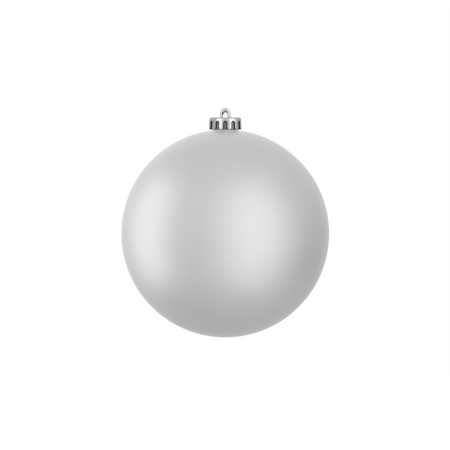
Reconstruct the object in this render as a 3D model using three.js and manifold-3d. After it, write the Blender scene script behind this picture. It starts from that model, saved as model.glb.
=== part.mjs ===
// Glass ball ornament in three pieces: a blown glass ball with an open neck, a fluted bright cap that
// covers the neck, and a hanger whose two spring legs pass through the cap and grip inside the neck.
// Millimetres, +Z up. Heights below are above the ball's centre; the exported group is lowered so that
// its origin is the inside top of the hanger's eye, where a hook or ribbon carries the ornament.
import * as THREE from 'three';
import { mergeVertices } from 'three/addons/utils/BufferGeometryUtils.js';
import Module from 'manifold-3d';

// Ball and neck
const BALL_RADIUS = 100;
const GLASS_WALL = 1.3;
const NECK_RADIUS = 12;
const NECK_TOP = 110;
const NECK_BEND = 1.5;

// Cap: a thin crown, wider at its rim, pressed in by round-topped flutes that run out at the rim. A flute
// is an arc across, and its radius here is its half width. Its sides start at the slope given.
const CAP_TOP = 111.7;
const CAP_RIM = 100.1;
const CAP_TOP_RADIUS = 15.3;
const CAP_RIM_RADIUS = 15.85;
const CAP_CORNER = 1.4;
const CAP_WALL = 0.8;
const CAP_PLATE = 1.4;
const FLUTE_COUNT = 12;
const FLUTE_RADIUS = 2.15;
const FLUTE_RIM_RADIUS = 2.05;
const FLUTE_CENTRE = 106.75;
const FLUTE_SLOPE = THREE.MathUtils.degToRad(66);

// Slots in the cap's plate, one for each leg of the hanger
const SLOT_NEAR = 1.5;
const SLOT_FAR = 6.1;
const SLOT_WIDTH = 3.8;
const SLOT_CORNER = 0.7;

// Hanger: a loop with an oval top around a round-topped eye, with rounded edges. The leg's points are on its
// middle line, from the loop to the tip: distance from the axis, height, and thickness in the loop's plane.
const HANGER_DEPTH = 3.2;
const HANGER_EDGE = 0.6;
const LOOP_HALF_WIDTH = 5.1;
const LOOP_RISE = 5.6;
const LOOP_CENTRE = 115.1;
const EYE_RADIUS = 1.8;
const EYE_CENTRE = 114.8;
const EYE_TOP = EYE_CENTRE + EYE_RADIUS;
const LEG_THICKNESS = 1.5;
const HANGER_LEG = [
  [3.52, 114.5, 3.3],
  [3.65, 113.4, 3.2],
  [4.0, 111.8, 2.8],
  [4.6, 110.5, 1.8],
  [6.0, 108.3, LEG_THICKNESS],
  [8.3, 105.2, LEG_THICKNESS],
  [9.5, 102, LEG_THICKNESS],
  [9.1, 97.5, LEG_THICKNESS],
  [7.8, 94, LEG_THICKNESS],
];

// Fineness of the faceted surfaces
const BALL_SEGMENTS = 48;
const BALL_STEPS = 28;
const HOLLOW_STEPS = 22;
const ROUND_STEPS = 4;
const CAP_SEGMENTS = FLUTE_COUNT * 8;
const SKIRT_HEIGHTS = [CAP_RIM, 103.7, FLUTE_CENTRE, 107.8, 108.5, FLUTE_CENTRE + FLUTE_RADIUS];
const LOOP_STEPS = 8;
const LEG_STEPS = 24;

const wasm = await Module();
wasm.setup();

const satinSilver = new THREE.MeshStandardMaterial({ color: 0xc9c9c9, roughness: 0.4, metalness: 0.6 });
const brightPlate = new THREE.MeshStandardMaterial({ color: 0xdcdcdc, roughness: 0.12, metalness: 1 });

// Points on an arc, from one angle to another, in degrees from the outward direction
function arc(x, y, radius, from, to, steps) {
  const points = [];
  for (let i = 0; i <= steps; i += 1) {
    const angle = THREE.MathUtils.degToRad(THREE.MathUtils.lerp(from, to, i / steps));
    points.push(new THREE.Vector2(x + radius * Math.cos(angle), y + radius * Math.sin(angle)));
  }
  return points;
}

// A turned piece from its half profile, which starts and ends on the axis; the axis becomes Z
function turned(points, segments) {
  points[0].x = 0;
  points[points.length - 1].x = 0;
  return new THREE.LatheGeometry(points, segments).rotateX(Math.PI / 2);
}

function toSolid(geometry) {
  const bare = geometry.clone();
  bare.deleteAttribute('normal');
  bare.deleteAttribute('uv');
  const welded = mergeVertices(bare);
  return new wasm.Manifold(new wasm.Mesh({
    numProp: 3,
    vertProperties: welded.attributes.position.array,
    triVerts: Uint32Array.from(welded.index.array),
  }));
}

function toGeometry(solid) {
  const { vertProperties, triVerts } = solid.getMesh();
  const geometry = new THREE.BufferGeometry();
  geometry.setAttribute('position', new THREE.BufferAttribute(vertProperties, 3));
  geometry.setIndex(new THREE.BufferAttribute(triVerts, 1));
  geometry.computeVertexNormals();
  return geometry;
}

// The shell has one wall all over: the bend into the neck turns about the same centre inside and out.
function glassBall() {
  const bendX = NECK_RADIUS + NECK_BEND;
  const bendZ = Math.sqrt((BALL_RADIUS + NECK_BEND) ** 2 - bendX ** 2);
  const meets = THREE.MathUtils.radToDeg(Math.atan2(bendZ, bendX));
  const lip = GLASS_WALL / 2;
  const profile = [
    ...arc(0, 0, BALL_RADIUS, -90, meets, BALL_STEPS),
    ...arc(bendX, bendZ, NECK_BEND, meets + 180, 180, ROUND_STEPS).slice(1),
    ...arc(NECK_RADIUS - lip, NECK_TOP - lip, lip, 0, 180, ROUND_STEPS),
    ...arc(bendX, bendZ, NECK_BEND + GLASS_WALL, 180, meets + 180, ROUND_STEPS),
    ...arc(0, 0, BALL_RADIUS - GLASS_WALL, meets, -90, HOLLOW_STEPS).slice(1),
  ];
  return turned(profile, BALL_SEGMENTS);
}

// How far a flute presses the skirt in, at a place measured across the flute and up from the rim.
// Inside the skirt the same arc is larger by the wall, so that the wall keeps its thickness.
function fluteDepth(across, height, wall) {
  const down = THREE.MathUtils.clamp((FLUTE_CENTRE - height) / (FLUTE_CENTRE - CAP_RIM), 0, 1);
  const bend = THREE.MathUtils.lerp(FLUTE_RADIUS, FLUTE_RIM_RADIUS, down) / Math.sin(FLUTE_SLOPE);
  const above = Math.max(0, height - FLUTE_CENTRE);
  const pressed = Math.sqrt(Math.max(0, (bend + wall) ** 2 - across ** 2 - above ** 2));
  return Math.max(0, pressed - bend * Math.cos(FLUTE_SLOPE) - wall);
}

function skirtRadius(height) {
  return THREE.MathUtils.mapLinear(height, CAP_RIM, CAP_TOP, CAP_RIM_RADIUS, CAP_TOP_RADIUS);
}

// Slot through the cap's plate, on one side of the axis
function slotCutter(side) {
  const halfX = (SLOT_FAR - SLOT_NEAR) / 2 - SLOT_CORNER;
  const halfY = SLOT_WIDTH / 2 - SLOT_CORNER;
  const outline = new THREE.Shape();
  outline.absarc(halfX, halfY, SLOT_CORNER, 0, Math.PI / 2);
  outline.absarc(-halfX, halfY, SLOT_CORNER, Math.PI / 2, Math.PI);
  outline.absarc(-halfX, -halfY, SLOT_CORNER, Math.PI, Math.PI * 1.5);
  outline.absarc(halfX, -halfY, SLOT_CORNER, Math.PI * 1.5, Math.PI * 2);
  const cutter = new THREE.ExtrudeGeometry(outline, {
    depth: CAP_PLATE * 3,
    curveSegments: ROUND_STEPS,
    bevelEnabled: false,
  });
  return cutter.translate(side * (SLOT_NEAR + SLOT_FAR) / 2, 0, CAP_TOP - CAP_PLATE * 2);
}

function cap() {
  const inside = SKIRT_HEIGHTS.map((z) => new THREE.Vector2(skirtRadius(z) - CAP_WALL, z));
  const outside = SKIRT_HEIGHTS.map((z) => new THREE.Vector2(skirtRadius(z), z));
  const under = CAP_TOP - CAP_PLATE;
  const innerCorner = CAP_CORNER / 2;
  const profile = [
    new THREE.Vector2(0, under),
    new THREE.Vector2(CAP_TOP_RADIUS - CAP_WALL - innerCorner, under),
    new THREE.Vector2(CAP_TOP_RADIUS - CAP_WALL, under - innerCorner),
    ...inside.reverse(),
    ...outside,
    ...arc(CAP_TOP_RADIUS - CAP_CORNER, CAP_TOP - CAP_CORNER, CAP_CORNER, 0, 90, ROUND_STEPS),
    new THREE.Vector2(0, CAP_TOP),
  ];
  const shell = turned(profile, CAP_SEGMENTS);
  const places = shell.attributes.position;
  const pitch = 2 * Math.PI / FLUTE_COUNT;
  for (let i = 0; i < places.count; i += 1) {
    const x = places.getX(i);
    const y = places.getY(i);
    const z = places.getZ(i);
    const radius = Math.hypot(x, y);
    const outer = skirtRadius(z);
    const wall = radius > outer - CAP_WALL / 2 ? 0 : CAP_WALL;
    const isSkirt = z < under - innerCorner && radius > outer - CAP_WALL * 1.5;
    if (isSkirt) {
      const turn = Math.atan2(y, x) + Math.PI / 2;
      const off = turn - pitch * Math.round(turn / pitch);
      const pushed = 1 - fluteDepth(outer * Math.sin(off), z, wall) / radius;
      places.setXY(i, x * pushed, y * pushed);
    }
  }
  const slots = [-1, 1].map((side) => toSolid(slotCutter(side)));
  return toGeometry(slots.reduce((solid, slot) => solid.subtract(slot), toSolid(shell)));
}

// One side of a leg: its middle line set off by half its thickness
function legSide(line, side) {
  return line.map(({ x, y, z: thickness }, i) => {
    const before = line[Math.max(0, i - 1)];
    const after = line[Math.min(line.length - 1, i + 1)];
    const along = new THREE.Vector2(after.x - before.x, after.y - before.y).setLength(side * thickness / 2);
    return new THREE.Vector2(x - along.y, y + along.x);
  });
}

function hanger() {
  const leg = new THREE.CatmullRomCurve3(HANGER_LEG.map((point) => new THREE.Vector3(...point)));
  const line = leg.getSpacedPoints(LEG_STEPS);
  const top = arc(0, 0, 1, 90, 0, LOOP_STEPS)
    .map(({ x, y }) => new THREE.Vector2(x * LOOP_HALF_WIDTH, LOOP_CENTRE + y * LOOP_RISE));
  const outer = [...top, ...legSide(line, 1)];
  const inner = [...arc(0, EYE_CENTRE, EYE_RADIUS, 90, 0, LOOP_STEPS), ...legSide(line, -1)];
  const end = line[line.length - 1];
  const edge = outer[outer.length - 1];
  const facing = THREE.MathUtils.radToDeg(Math.atan2(edge.y - end.y, edge.x - end.x));
  const tip = arc(end.x, end.y, LEG_THICKNESS / 2, facing, facing - 180, ROUND_STEPS).slice(1, -1);
  const right = [...outer, ...tip, ...inner.reverse()];
  const left = right.slice(1, -1).reverse().map((p) => new THREE.Vector2(-p.x, p.y));
  const plate = new THREE.ExtrudeGeometry(new THREE.Shape([...right, ...left]), {
    depth: HANGER_DEPTH - 2 * HANGER_EDGE,
    bevelThickness: HANGER_EDGE,
    bevelSize: HANGER_EDGE,
    bevelOffset: -HANGER_EDGE,
    bevelSegments: 2,
  });
  plate.translate(0, 0, HANGER_EDGE - HANGER_DEPTH / 2);
  return toGeometry(toSolid(plate.rotateX(Math.PI / 2)));
}

function part(name, geometry, material) {
  const mesh = new THREE.Mesh(geometry, material);
  mesh.name = name;
  return mesh;
}

const ornament = new THREE.Group();
ornament.position.z = -EYE_TOP;
ornament.add(
  part('glass_ball', glassBall(), satinSilver),
  part('cap', cap(), brightPlate),
  part('hanger', hanger(), brightPlate),
);

export default ornament;
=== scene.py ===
"""Glass ball ornament, hanging: the fine surfaces, materials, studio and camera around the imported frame.

Metres, in the row frame: +Z is up along the ornament's axis, and the origin is the inside top of the
hanger's eye. Every piece is turned or swept from a few driving sizes. The ball's and the cap's heights come
from the frame, and the hanger is drawn from the origin.
"""

import math

import bmesh
import bpy
import numpy as np
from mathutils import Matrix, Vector


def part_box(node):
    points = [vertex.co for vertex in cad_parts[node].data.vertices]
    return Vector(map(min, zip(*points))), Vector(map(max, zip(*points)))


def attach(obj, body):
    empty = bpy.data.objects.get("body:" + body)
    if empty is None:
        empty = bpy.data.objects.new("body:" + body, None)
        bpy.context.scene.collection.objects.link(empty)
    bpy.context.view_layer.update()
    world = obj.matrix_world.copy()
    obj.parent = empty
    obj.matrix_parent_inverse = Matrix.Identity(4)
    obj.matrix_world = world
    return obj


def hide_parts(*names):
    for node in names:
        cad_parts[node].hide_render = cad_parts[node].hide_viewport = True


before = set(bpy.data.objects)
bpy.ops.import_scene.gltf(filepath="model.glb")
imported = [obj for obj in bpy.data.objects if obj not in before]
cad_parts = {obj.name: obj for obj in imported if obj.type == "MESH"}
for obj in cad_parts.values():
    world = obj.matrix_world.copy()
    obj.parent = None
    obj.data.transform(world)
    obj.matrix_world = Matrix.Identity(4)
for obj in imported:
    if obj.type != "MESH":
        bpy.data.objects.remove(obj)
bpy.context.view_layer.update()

MM = 0.001

# Ball: a blown shell with one wall all over, lacquered outside up to the neck
BALL_RADIUS = 100 * MM
GLASS_WALL = 1.3 * MM
NECK_RADIUS = 12 * MM
NECK_BEND = 1.5 * MM
BALL_TURNS = 256
BALL_STEPS = 124
HOLLOW_STEPS = 64

# Cap: a thin crown, wider at its rim, pressed in by round-topped flutes between round-ended ribs. A flute
# is an arc across, FLUTE_RADIUS is half its width, and its sides start at the slope given.
CAP_TOP_RADIUS = 15.3 * MM
CAP_RIM_RADIUS = 15.85 * MM
CAP_CORNER = 1.9 * MM
CAP_WALL = 0.8 * MM
CAP_PLATE = 1.4 * MM
CAP_FLAT_RADIUS = 8 * MM
FLUTE_COUNT = 12
FLUTE_RADIUS = 2.2 * MM
FLUTE_RIM_RADIUS = 2.1 * MM
FLUTE_SLOPE = math.radians(66)
FLUTE_EDGE = 0.3 * MM
FLUTE_BELOW_TOP = 5.3 * MM
RIB_LIFT = 0.1 * MM
RIM_CURL = 0.7 * MM
RIM_CURL_HEIGHT = 1.1 * MM
CAP_TURNS = FLUTE_COUNT * 64
SKIRT_STEPS = 52
SLOT_NEAR = 1.5 * MM
SLOT_FAR = 6.1 * MM
SLOT_WIDTH = 3.8 * MM
SLOT_CORNER = 0.7 * MM
SLOT_EDGE = 0.15 * MM
# An edge of a slot turns by more than this, in radians
SLOT_EDGE_TURN = 1

# Hanger: a thick oval loop round a round-topped eye, on two flat spring legs. A leg's points are on its
# middle line, downwards: distance from the axis, height above the eye's top, thickness, and depth.
LOOP_HALF_WIDTH = 5.1 * MM
LOOP_RISE = 5.6 * MM
LOOP_CENTRE = -1.5 * MM
EYE_RADIUS = 1.8 * MM
LOOP_DEPTH = 3.2 * MM
SECTION_POWER = 2.1
LOOP_STEPS = 56
LEG_STEPS = 160
SECTION_STEPS = 72
# A leg ends in a half round, whose sections are at these turns, in degrees
TIP_TURNS = (20, 40, 58, 72, 84)
# A place in the eye painted dark, as painted shade standing in for a dark reflection: it is full to half its
# reach, gone at the fade times its reach, and kept off the section's sides. Its depth is its value as a
# recess.
PAINTED_EYE_SHADE_PLACE = (-2.4 * MM, -1.0 * MM)
PAINTED_EYE_SHADE_REACH = 1.3 * MM
PAINTED_EYE_SHADE_FADE = 1.5
PAINTED_EYE_SHADE_SIDE_SHARPNESS = 4
PAINTED_EYE_SHADE_DEPTH = 0.2
HANGER_LEG = np.array([
    (3.52, -2.1, 3.3, 3.2),
    (3.65, -3.2, 3.2, 3.2),
    (4.0, -4.8, 2.8, 3.2),
    (4.6, -6.1, 1.8, 3.1),
    (6.0, -8.3, 1.5, 3.0),
    (8.3, -11.4, 1.5, 2.9),
    (9.5, -14.6, 1.5, 2.8),
    (9.1, -19.1, 1.5, 2.7),
    (7.8, -22.6, 1.5, 2.6),
]) * MM

ball_low, ball_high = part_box("glass_ball")
cap_low, cap_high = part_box("cap")
BALL_CENTRE = ball_low.z + BALL_RADIUS
NECK_TOP = ball_high.z
CAP_RIM = cap_low.z
CAP_TOP = cap_high.z


# ---------------------------------------------------------------- mesh helpers

def arc(x, y, radius, start, end, steps):
    """Points on an arc from one angle to another, in degrees from the outward direction."""
    angles = np.radians(np.linspace(start, end, steps + 1))
    return np.stack([x + radius * np.cos(angles), y + radius * np.sin(angles)], axis=1)


def joined(*runs):
    """One profile from several runs of points, without the points that repeat."""
    points = np.concatenate(runs)
    steps = np.hypot(*np.diff(points, axis=0).T)
    return points[np.concatenate([[True], steps > 1e-3 * MM])]


def new_object(name, vertices, faces):
    mesh = bpy.data.meshes.new(name)
    mesh.from_pydata([tuple(v) for v in vertices], [], faces)
    mesh.validate()
    mesh.shade_smooth()
    piece = bpy.data.objects.new(name, mesh)
    bpy.context.scene.collection.objects.link(piece)
    return piece


def grid_faces(rows, columns):
    """Quads between rows of a grid whose columns close into a ring, facing out where the rows rise."""
    faces = []
    for row in range(rows - 1):
        for column in range(columns):
            beside = (column + 1) % columns
            low, high = row * columns, (row + 1) * columns
            faces.append((low + column, low + beside, high + beside, high + column))
    return faces


def add_attribute(piece, name, values):
    """One number at each vertex, for the material to read."""
    attribute = piece.data.attributes.new(name, "FLOAT", "POINT")
    attribute.data.foreach_set("value", values.astype(np.float32))


# ---------------------------------------------------------------- pieces

def ball_profile():
    """The shell's section, from its outer pole over the lip to its inner one, and how far it is lacquered.

    The bend into the neck has one centre inside and out. The second result falls from 1 to 0 up the neck,
    where the material puts the lacquer's edge, and is 0 inside.
    """
    bend_x = NECK_RADIUS + NECK_BEND
    bend_z = math.sqrt((BALL_RADIUS + NECK_BEND) ** 2 - bend_x ** 2)
    meets = math.degrees(math.atan2(bend_z, bend_x))
    lip = GLASS_WALL / 2
    neck_top = NECK_TOP - BALL_CENTRE
    above_bend = bend_z + NECK_BEND
    outside = joined(
        arc(0, 0, BALL_RADIUS, -90, meets, BALL_STEPS)[1:],
        arc(bend_x, bend_z, NECK_BEND, meets + 180, 180, 10),
        np.stack([np.full(12, NECK_RADIUS), np.linspace(bend_z, neck_top - lip, 12)], axis=1),
    )
    inside = joined(
        arc(NECK_RADIUS - lip, neck_top - lip, lip, 0, 180, 14)[1:],
        arc(bend_x, bend_z, NECK_BEND + GLASS_WALL, 180, meets + 180, 12),
        arc(0, 0, BALL_RADIUS - GLASS_WALL, meets, -90, HOLLOW_STEPS)[:-1],
    )
    up_neck = np.clip((outside[:, 1] - above_bend) / (neck_top - above_bend), 0, 1)
    coat = np.concatenate([1 - up_neck, np.zeros(len(inside))])
    return np.concatenate([outside, inside]), coat


def make_ball():
    """The glass shell: its section turned about Z, and closed at the outer and the inner pole."""
    profile, coat = ball_profile()
    turns = np.linspace(0, 2 * math.pi, BALL_TURNS, endpoint=False)
    radius, height = profile[:, :1], profile[:, 1:]
    rings = np.stack([
        radius * np.cos(turns),
        radius * np.sin(turns),
        np.broadcast_to(height + BALL_CENTRE, (len(profile), BALL_TURNS)),
    ], axis=2).reshape(-1, 3)
    outer_pole = len(rings)
    inner_pole = outer_pole + 1
    last = (len(profile) - 1) * BALL_TURNS
    poles = [(0, 0, BALL_CENTRE - BALL_RADIUS), (0, 0, BALL_CENTRE - BALL_RADIUS + GLASS_WALL)]
    faces = grid_faces(len(profile), BALL_TURNS)
    for i in range(BALL_TURNS):
        beside = (i + 1) % BALL_TURNS
        faces.append((outer_pole, beside, i))
        faces.append((inner_pole, last + i, last + beside))
    piece = new_object("ball_shell", np.vstack([rings, poles]), faces)
    add_attribute(piece, "coat", np.append(np.repeat(coat, BALL_TURNS), [1, 0]))
    return piece


def flute_press(across, height, wall):
    """How far the skirt is pressed in, and that as a part of the flute's full depth there.

    The place is given by the distance across from a flute's middle and up from the rim. Flutes have domed
    tops, and the ribs between them end in half circles. Inside the skirt the same arc is larger by the wall,
    so that the wall keeps its thickness.
    """
    half_pitch = math.pi * CAP_RIM_RADIUS / FLUTE_COUNT
    dome = CAP_TOP - CAP_RIM - FLUTE_BELOW_TOP
    rib_radius = half_pitch - FLUTE_RIM_RADIUS
    rib_end = rib_radius + RIB_LIFT
    down = np.clip((dome - height) / (dome - rib_end), 0, 1)
    radius = FLUTE_RADIUS + (FLUTE_RIM_RADIUS - FLUTE_RADIUS) * down
    off = np.hypot(across, np.maximum(0, height - dome))
    if height < rib_end:
        off = radius + rib_radius - np.hypot(half_pitch - np.abs(across), rib_end - height)
    bend = radius / math.sin(FLUTE_SLOPE)
    arch = np.sqrt((bend + wall) ** 2 - np.clip(off, 0, radius) ** 2) - bend * math.cos(FLUTE_SLOPE) - wall
    pressed = arch - np.maximum(0, off - radius) * math.tan(FLUTE_SLOPE)
    rounded = (pressed + np.hypot(pressed, FLUTE_EDGE)) / 2
    return rounded, rounded / (bend * (1 - math.cos(FLUTE_SLOPE)))


def skirt_radius(height):
    """The outside of the ribs, by height above the rim: it flares downwards and curls in at the rim."""
    flare = (CAP_RIM_RADIUS - CAP_TOP_RADIUS) * (1 - height / (CAP_TOP - CAP_RIM))
    low = np.clip(1 - height / RIM_CURL_HEIGHT, 0, 1)
    return CAP_TOP_RADIUS + flare - RIM_CURL * (1 - np.sqrt(1 - low ** 2))


def slot_cutter(side):
    """A rounded post that cuts a leg's slot through the cap's plate."""
    half_x = (SLOT_FAR - SLOT_NEAR) / 2 - SLOT_CORNER
    half_y = SLOT_WIDTH / 2 - SLOT_CORNER
    outline = np.concatenate([
        arc(sx * half_x, sy * half_y, SLOT_CORNER, 90 * quarter, 90 * quarter + 90, 6)
        for quarter, (sx, sy) in enumerate([(1, 1), (-1, 1), (-1, -1), (1, -1)])
    ])
    outline[:, 0] += side * (SLOT_NEAR + SLOT_FAR) / 2
    count = len(outline)
    levels = [CAP_TOP - 2 * CAP_PLATE, CAP_TOP + CAP_PLATE]
    vertices = [(x, y, z) for z in levels for x, y in outline]
    faces = grid_faces(2, count) + [tuple(reversed(range(count))), tuple(range(count, 2 * count))]
    return new_object("slot_cutter", vertices, faces)


def cut(piece, cutter):
    modifier = piece.modifiers.new("cut", "BOOLEAN")
    modifier.operation = "DIFFERENCE"
    modifier.solver = "EXACT"
    modifier.object = cutter
    apply_modifiers(piece)
    bpy.data.objects.remove(cutter)


def apply_modifiers(piece):
    graph = bpy.context.evaluated_depsgraph_get()
    mesh = bpy.data.meshes.new_from_object(piece.evaluated_get(graph), depsgraph=graph)
    piece.modifiers.clear()
    piece.data = mesh


def round_slot_edges(piece):
    """Rounds the edges of the slots, on both faces of the plate."""
    mesh = bmesh.new()
    mesh.from_mesh(piece.data)
    levels = (CAP_TOP, CAP_TOP - CAP_PLATE)
    reach = SLOT_FAR + SLOT_EDGE
    sharp = []
    for edge in mesh.edges:
        ends = [v.co for v in edge.verts]
        near = all(math.hypot(e.x, e.y) < reach for e in ends)
        flat = any(all(abs(e.z - level) < SLOT_EDGE / 10 for e in ends) for level in levels)
        if near and flat and len(edge.link_faces) == 2 and edge.calc_face_angle() > SLOT_EDGE_TURN:
            sharp.append(edge)
    bmesh.ops.bevel(mesh, geom=sharp, offset=SLOT_EDGE, segments=3, profile=0.5, affect="EDGES")
    mesh.to_mesh(piece.data)
    mesh.free()


def cap_rows():
    """The crown's section, from inside the plate down the skirt and up its outside to the middle of the top.

    Each row is a radius, a height above the rim, and None. On the skirt the flutes decide the radius, so
    there the first is None and the last is the distance in from the outer face.
    """
    tall = CAP_TOP - CAP_RIM
    flute_top = tall - FLUTE_BELOW_TOP + FLUTE_RADIUS + FLUTE_EDGE
    curl = RIM_CURL_HEIGHT * (1 - np.cos(np.linspace(0, math.pi / 2, 8)))
    heights = np.concatenate([curl, np.linspace(RIM_CURL_HEIGHT, flute_top, SKIRT_STEPS)[1:]])
    inner_corner = CAP_WALL
    inner_top = tall - CAP_PLATE - inner_corner
    inner_heights = np.append(heights[:-1:3], inner_top)
    inner_radius = CAP_TOP_RADIUS - CAP_WALL
    under_plate = [(CAP_FLAT_RADIUS, tall - CAP_PLATE)]
    inner_bend = arc(inner_radius - inner_corner, inner_top, inner_corner, 90, 0, 6)
    outer_bend = arc(CAP_TOP_RADIUS - CAP_CORNER, tall - CAP_CORNER, CAP_CORNER, 0, 90, 12)
    over_plate = [(CAP_FLAT_RADIUS, tall)]
    return [
        *[(radius, height, None) for radius, height in (*under_plate, *inner_bend)],
        *[(None, height, CAP_WALL) for height in inner_heights[::-1][1:]],
        *[(None, height, 0) for height in heights],
        *[(radius, height, None) for radius, height in (*outer_bend, *over_plate)],
    ]


def make_cap():
    """The crown: a turned cup whose skirt is pressed in by the flutes, with two slots through its plate."""
    rows = cap_rows()
    turns = np.linspace(0, 2 * math.pi, CAP_TURNS, endpoint=False)
    pitch = 2 * math.pi / FLUTE_COUNT
    across = (turns - pitch * np.round(turns / pitch)) * CAP_RIM_RADIUS
    rings = []
    recesses = []
    for radius, height, wall in rows:
        pressed = recess = np.zeros(CAP_TURNS)
        if wall is not None:
            radius = skirt_radius(height) - wall
            pressed, recess = flute_press(across, height, wall)
        ring = radius - pressed
        level = np.full(CAP_TURNS, height + CAP_RIM)
        rings.append(np.stack([ring * np.sin(turns), -ring * np.cos(turns), level], axis=1))
        recesses.append(recess)
    faces = grid_faces(len(rows), CAP_TURNS)
    last = (len(rows) - 1) * CAP_TURNS
    faces.append(tuple(reversed(range(CAP_TURNS))))
    faces.append(tuple(last + i for i in range(CAP_TURNS)))
    piece = new_object("cap_crown", np.concatenate(rings), faces)
    # The depth in a flute, which the plate's material turns into painted shade and painted reflection
    add_attribute(piece, "recess", np.concatenate(recesses))
    for side in (-1, 1):
        cut(piece, slot_cutter(side))
    round_slot_edges(piece)
    piece.data.shade_smooth()
    piece.data.set_sharp_from_angle(angle=math.radians(40))
    return piece


def spline(points, count):
    """A smooth curve through the points, sampled evenly between them."""
    ends = [2 * points[0] - points[1], 2 * points[-1] - points[-2]]
    padded = np.vstack([ends[:1], points, ends[1:]])
    samples = []
    for place in np.linspace(0, len(points) - 1, count):
        i = min(int(place), len(points) - 2)
        t = place - i
        a, b, c, d = padded[i:i + 4]
        samples.append(0.5 * (2 * b + (c - a) * t + (2 * a - 5 * b + 4 * c - d) * t ** 2
                              + (3 * b - a - 3 * c + d) * t ** 3))
    return np.array(samples)


def hanger_outlines():
    """The outer and inner outline in the XZ plane, from one leg's tip to the other, and the depth there."""
    loop_outer = arc(0, 0, 1, 90, 0, LOOP_STEPS) * (LOOP_HALF_WIDTH, LOOP_RISE) + (0, LOOP_CENTRE)
    loop_inner = arc(0, -EYE_RADIUS, EYE_RADIUS, 90, 0, LOOP_STEPS)
    leg = spline(HANGER_LEG, LEG_STEPS)
    along = np.gradient(leg[:, :2], axis=0)
    along /= np.hypot(*along.T)[:, None]
    aside = np.stack([-along[:, 1], along[:, 0]], axis=1)
    outer = np.vstack([loop_outer, leg[:, :2] + aside * leg[:, 2:3] / 2])
    inner = np.vstack([loop_inner, leg[:, :2] - aside * leg[:, 2:3] / 2])
    depth = np.append(np.full(LOOP_STEPS + 1, LOOP_DEPTH), leg[:, 3])
    reach = leg[-1, 2] / 2
    for turn in np.radians(TIP_TURNS):
        mid = leg[-1, :2] + along[-1] * reach * math.sin(turn)
        half = aside[-1] * reach * math.cos(turn)
        outer = np.vstack([outer, mid + half])
        inner = np.vstack([inner, mid - half])
        depth = np.append(depth, leg[-1, 3] - 2 * reach * (1 - math.cos(turn)))
    flip = np.array([-1, 1])
    return (
        np.vstack([outer[:0:-1] * flip, outer]),
        np.vstack([inner[:0:-1] * flip, inner]),
        np.concatenate([depth[:0:-1], depth]),
    )


def painted_eye_shade(vertices, angles, sections):
    """How dark the eye is painted, as painted shade around its place, and only on the side that faces the
    eye.
    """
    away = np.hypot(vertices[:, 0] - PAINTED_EYE_SHADE_PLACE[0], vertices[:, 2] - PAINTED_EYE_SHADE_PLACE[1])
    inward = np.tile(np.clip(-np.cos(angles) * PAINTED_EYE_SHADE_SIDE_SHARPNESS, 0, 1), sections)
    return np.clip(PAINTED_EYE_SHADE_FADE - away / PAINTED_EYE_SHADE_REACH, 0, 1) * inward * PAINTED_EYE_SHADE_DEPTH


def make_hanger():
    """The loop and legs, swept as rounded sections between the outer and the inner outline."""
    outer, inner, depth = hanger_outlines()
    angles = np.linspace(0, 2 * math.pi, SECTION_STEPS, endpoint=False)
    wide = np.sign(np.cos(angles)) * np.abs(np.cos(angles)) ** (2 / SECTION_POWER)
    deep = np.sign(np.sin(angles)) * np.abs(np.sin(angles)) ** (2 / SECTION_POWER)
    sections = []
    for mid, half, thick in zip((outer + inner) / 2, (outer - inner) / 2, depth):
        flat = mid + wide[:, None] * half
        sections.append(np.stack([flat[:, 0], deep * thick / 2, flat[:, 1]], axis=1))
    vertices = np.concatenate(sections)
    faces = [face[::-1] for face in grid_faces(len(sections), SECTION_STEPS)]
    last = (len(sections) - 1) * SECTION_STEPS
    faces.append(tuple(range(SECTION_STEPS)))
    faces.append(tuple(last + i for i in reversed(range(SECTION_STEPS))))
    piece = new_object("hanger_loop", vertices, faces)
    # Painted shade in the eye, carried in the recess attribute
    add_attribute(piece, "recess", painted_eye_shade(vertices, angles, len(sections)))
    return piece


# ---------------------------------------------------------------- materials

# Most of a noise texture's values lie between these
NOISE_SPREAD = (0.3, 0.7)
SATIN_ROUGHNESS = (0.47, 0.53)
BARE_ROUGHNESS = 0.1
SILVER_TONES = (0.595, 0.607)
GRAIN_SIZE = 0.8 * MM
CLOUD_SIZE = 30 * MM
LACQUER_WAVE_SIZE = 5 * MM
# The plating's tone by depth in a recess, chosen by trial: the plate's own tone on open faces, then painted
# shade and painted reflection, with dark sides and a paler floor
PLATE_TONE_AND_PAINTED_SHADE = [(0.0, 0.5), (0.05, 0.5), (0.12, 0.01), (0.8, 0.01), (0.93, 0.15), (1.0, 0.16)]
PLATE_ROUGHNESS = (0.12, 0.2)
HANDLED_ROUGHNESS = 0.5
WEAR_SIZE = 2 * MM


def principled(name, **values):
    """A material with its shader's sockets set, and its nodes and links to add to."""
    material = bpy.data.materials.new(name)
    material.use_nodes = True
    shader = material.node_tree.nodes["Principled BSDF"]
    for socket, value in values.items():
        shader.inputs[socket.replace("_", " ")].default_value = value
    return material, material.node_tree.nodes, material.node_tree.links, shader


def add_noise(nodes, links, size, detail=2.0):
    """Noise whose patches are about the given size across, in metres."""
    place = nodes.new("ShaderNodeTexCoord")
    noise = nodes.new("ShaderNodeTexNoise")
    noise.inputs["Scale"].default_value = 1 / size
    noise.inputs["Detail"].default_value = detail
    links.new(place.outputs["Object"], noise.inputs["Vector"])
    return noise.outputs["Fac"]


def add_range(nodes, links, value, old, new):
    """The value moved from one range to another, and held inside it."""
    node = nodes.new("ShaderNodeMapRange")
    for socket, number in zip(("From Min", "From Max", "To Min", "To Max"), (*old, *new)):
        node.inputs[socket].default_value = number
    links.new(value, node.inputs["Value"])
    return node.outputs["Result"]


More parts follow.
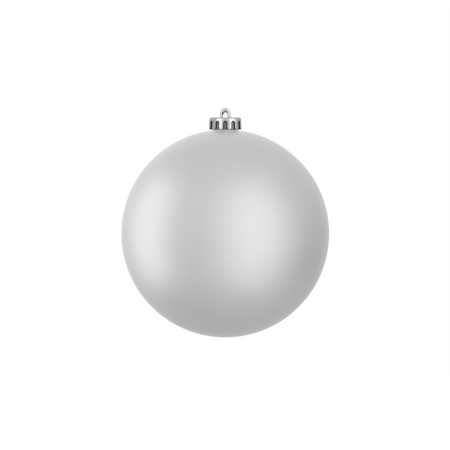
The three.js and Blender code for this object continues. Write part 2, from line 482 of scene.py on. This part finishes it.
def add_math(nodes, links, operation, first, second):
    node = nodes.new("ShaderNodeMath")
    node.operation = operation
    for socket, value in zip(node.inputs, (first, second)):
        if isinstance(value, (int, float)):
            socket.default_value = value
        else:
            links.new(value, socket)
    return node.outputs["Value"]


def add_bump(nodes, links, shader, height, distance, strength):
    bump = nodes.new("ShaderNodeBump")
    bump.inputs["Distance"].default_value = distance
    bump.inputs["Strength"].default_value = strength
    links.new(height, bump.inputs["Height"])
    links.new(bump.outputs["Normal"], shader.inputs["Normal"])


def satin_silver():
    """Satin lacquer over silver. It ends in a wavy line on the neck, above which the silvering is bare."""
    material, nodes, links, shader = principled(
        "satin_silver", Metallic=1.0, Coat_Weight=0.25, Coat_Roughness=0.3,
    )
    coat = nodes.new("ShaderNodeAttribute")
    coat.attribute_name = "coat"
    wave_noise = add_noise(nodes, links, LACQUER_WAVE_SIZE)
    wave = add_range(nodes, links, wave_noise, NOISE_SPREAD, (-0.15, 0.15))
    reach = add_math(nodes, links, "ADD", coat.outputs["Fac"], wave)
    coated = add_range(nodes, links, reach, (0.45, 0.5), (0, 1))
    grain = add_noise(nodes, links, GRAIN_SIZE)
    cloud = add_noise(nodes, links, CLOUD_SIZE, 3.0)
    satin = add_range(nodes, links, grain, NOISE_SPREAD, SATIN_ROUGHNESS)
    lacquer = add_math(nodes, links, "MULTIPLY", coated, satin)
    roughness = add_math(nodes, links, "MAXIMUM", lacquer, BARE_ROUGHNESS)
    links.new(roughness, shader.inputs["Roughness"])
    tone = nodes.new("ShaderNodeMix")
    tone.data_type = "RGBA"
    for socket, grey in zip(("A", "B"), SILVER_TONES):
        tone.inputs[socket].default_value = (grey, grey, grey, 1)
    links.new(add_range(nodes, links, cloud, NOISE_SPREAD, (0, 1)), tone.inputs["Factor"])
    links.new(tone.outputs["Result"], shader.inputs["Base Color"])
    add_bump(nodes, links, shader, grain, 0.01 * MM, 0.3)
    return material


def bright_plate():
    """Bright plating, handled dull on the flat top. Its colour is darkened by the recess attribute: painted
    shade and painted reflection in the cap's flutes, and one painted dark place in the hanger's eye.
    """
    material, nodes, links, shader = principled(
        "bright_plate", Metallic=1.0, Specular_Tint=(0.65, 0.65, 0.65, 1),
    )
    recess = nodes.new("ShaderNodeAttribute")
    recess.attribute_name = "recess"
    # The ramp paints shade and reflection into the base colour by recess depth
    ramp = nodes.new("ShaderNodeValToRGB")
    elements = ramp.color_ramp.elements
    while len(elements) < len(PLATE_TONE_AND_PAINTED_SHADE):
        elements.new(1.0)
    for element, (position, tone) in zip(elements, PLATE_TONE_AND_PAINTED_SHADE):
        element.position = position
        element.color = (tone, tone, tone, 1)
    links.new(recess.outputs["Fac"], ramp.inputs["Fac"])
    links.new(ramp.outputs["Color"], shader.inputs["Base Color"])
    place = nodes.new("ShaderNodeTexCoord")
    split = nodes.new("ShaderNodeSeparateXYZ")
    links.new(place.outputs["Normal"], split.inputs[0])
    handled = add_range(nodes, links, split.outputs["Z"], (0.85, 0.98), (0, HANDLED_ROUGHNESS))
    wear = add_range(nodes, links, add_noise(nodes, links, WEAR_SIZE, 4.0), NOISE_SPREAD, PLATE_ROUGHNESS)
    links.new(add_math(nodes, links, "MAXIMUM", wear, handled), shader.inputs["Roughness"])
    return material


# ---------------------------------------------------------------- studio

FLOOR_DROP = 1.2
FLOOR_HALF = 12.0
# The room's and the ball's lights were fitted to the satin ball's brightness, then rounded. The cap's lights
# were chosen by trial.
ROOM_LEVEL = 0.78
ROOM_SLOPE = (0.05, -0.15, 0.1)
# Azimuth and elevation, sharpness, strength: a glow behind, and something dark at the right
ROOM_PATCHES = [(190, 15, 4, 0.45), (110, -15, 12, -0.25)]
# Name, azimuth and elevation, width and height, radiance
BALL_LIGHTS = [("ball_right", 32, 0, 1.2, 2.7, 0.55), ("ball_left", -92, 2, 1.0, 1.7, 0.85)]
CAP_LIGHTS = [("cap_right", 54, 15, 0.85, 1.9, 1.0), ("cap_left", -45, 15, 0.75, 1.9, 1.0)]
LIGHT_DISTANCE = 1.0
CAMERA_DISTANCE = 3.0
CAMERA_ELEVATION = 2.7
VIEW_WIDTH = 0.4334
VIEW_UP = 8.2 * MM
VIEW_LEFT = 0.27 * MM


def direction(azimuth, elevation):
    """The way from the ornament to something at that azimuth, counted to the right from the camera's side."""
    a, e = math.radians(azimuth), math.radians(elevation)
    return Vector((math.sin(a) * math.cos(e), -math.cos(a) * math.cos(e), math.sin(e)))


def make_floor():
    """A plain pale floor, far below, that adds nothing to what the ornament reflects."""
    z = ball_low.z - FLOOR_DROP
    corners = [(x * FLOOR_HALF, y * FLOOR_HALF, z) for x, y in ((-1, -1), (1, -1), (1, 1), (-1, 1))]
    floor = new_object("floor", corners, [(0, 1, 2, 3)])
    floor.data.materials.append(principled(
        "floor", Roughness=0.9, Base_Color=(0.9, 0.9, 0.9, 1), Emission_Color=(1, 1, 1, 1),
        Emission_Strength=1.0,
    )[0])
    floor.visible_glossy = False
    floor.visible_shadow = False


def softbox(name, azimuth, elevation, width, height, radiance, receivers):
    """A soft light that faces the ball and lights only the given pieces."""
    light = bpy.data.lights.new(name, "AREA")
    light.shape = "RECTANGLE"
    light.size = width
    light.size_y = height
    light.energy = radiance * math.pi * width * height
    lamp = bpy.data.objects.new(name, light)
    bpy.context.scene.collection.objects.link(lamp)
    out = direction(azimuth, elevation)
    lamp.location = Vector((0, 0, BALL_CENTRE)) + out * LIGHT_DISTANCE
    lamp.rotation_mode = "QUATERNION"
    lamp.rotation_quaternion = out.to_track_quat("Z", "Y")
    lamp.visible_camera = False
    group = bpy.data.collections.new(name + "_receivers")
    for piece in receivers:
        group.objects.link(piece)
    lamp.light_linking.receiver_collection = group


def make_world():
    """A pale room that is plain white to the camera. What the ornament reflects is brighter in front and
    above, with one glow behind it and one dim patch at the right."""
    world = bpy.data.worlds.new("studio")
    world.use_nodes = True
    nodes, links = world.node_tree.nodes, world.node_tree.links
    nodes.clear()
    place = nodes.new("ShaderNodeTexCoord")

    def facing(towards):
        dot = nodes.new("ShaderNodeVectorMath")
        dot.operation = "DOT_PRODUCT"
        dot.inputs[1].default_value = towards
        links.new(place.outputs["Generated"], dot.inputs[0])
        return dot.outputs["Value"]

    level = add_math(nodes, links, "ADD", facing(ROOM_SLOPE), ROOM_LEVEL)
    for azimuth, elevation, sharpness, strength in ROOM_PATCHES:
        spread = add_math(nodes, links, "SUBTRACT", facing(direction(azimuth, elevation)), 1.0)
        patch = add_math(nodes, links, "EXPONENT", add_math(nodes, links, "MULTIPLY", spread, sharpness), 0)
        level = add_math(nodes, links, "ADD", level, add_math(nodes, links, "MULTIPLY", patch, strength))
    room = nodes.new("ShaderNodeBackground")
    links.new(level, room.inputs["Strength"])
    room.inputs["Color"].default_value = (1, 1, 1, 1)
    white = nodes.new("ShaderNodeBackground")
    white.inputs["Color"].default_value = (1, 1, 1, 1)
    path = nodes.new("ShaderNodeLightPath")
    mix = nodes.new("ShaderNodeMixShader")
    output = nodes.new("ShaderNodeOutputWorld")
    links.new(path.outputs["Is Camera Ray"], mix.inputs["Fac"])
    links.new(room.outputs[0], mix.inputs[1])
    links.new(white.outputs[0], mix.inputs[2])
    links.new(mix.outputs[0], output.inputs["Surface"])
    bpy.context.scene.world = world


def make_camera():
    data = bpy.data.cameras.new("camera")
    data.sensor_width = 36
    data.lens = data.sensor_width * CAMERA_DISTANCE / VIEW_WIDTH
    data.clip_end = 50
    camera = bpy.data.objects.new("camera", data)
    bpy.context.scene.collection.objects.link(camera)
    aim = Vector((-VIEW_LEFT, 0, BALL_CENTRE + VIEW_UP))
    out = direction(0, CAMERA_ELEVATION)
    camera.location = aim + out * CAMERA_DISTANCE
    camera.rotation_mode = "QUATERNION"
    camera.rotation_quaternion = (-out).to_track_quat("-Z", "Y")
    bpy.context.scene.camera = camera


ball = make_ball()
cap = make_cap()
hanger = make_hanger()
silver = satin_silver()
plate = bright_plate()
for piece, body, node, slot, material in [
    (ball, "ball", "glass_ball", "satin_silver", silver),
    (cap, "cap", "cap", "bright_plate", plate),
    (hanger, "hanger", "hanger", "bright_plate", plate),
]:
    piece.data.materials.clear()
    piece.data.materials.append(material)
    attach(piece, body)
    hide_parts(node)

# Without this the ball would be far darker round the cap, from its shadow and its reflection
for piece in (cap, hanger):
    piece.visible_glossy = False
    piece.visible_shadow = False

make_floor()
make_world()
for lights, receivers in ((BALL_LIGHTS, [ball]), (CAP_LIGHTS, [cap, hanger])):
    for light in lights:
        softbox(*light, receivers)
make_camera()
bpy.context.scene.view_settings.view_transform = "Standard"
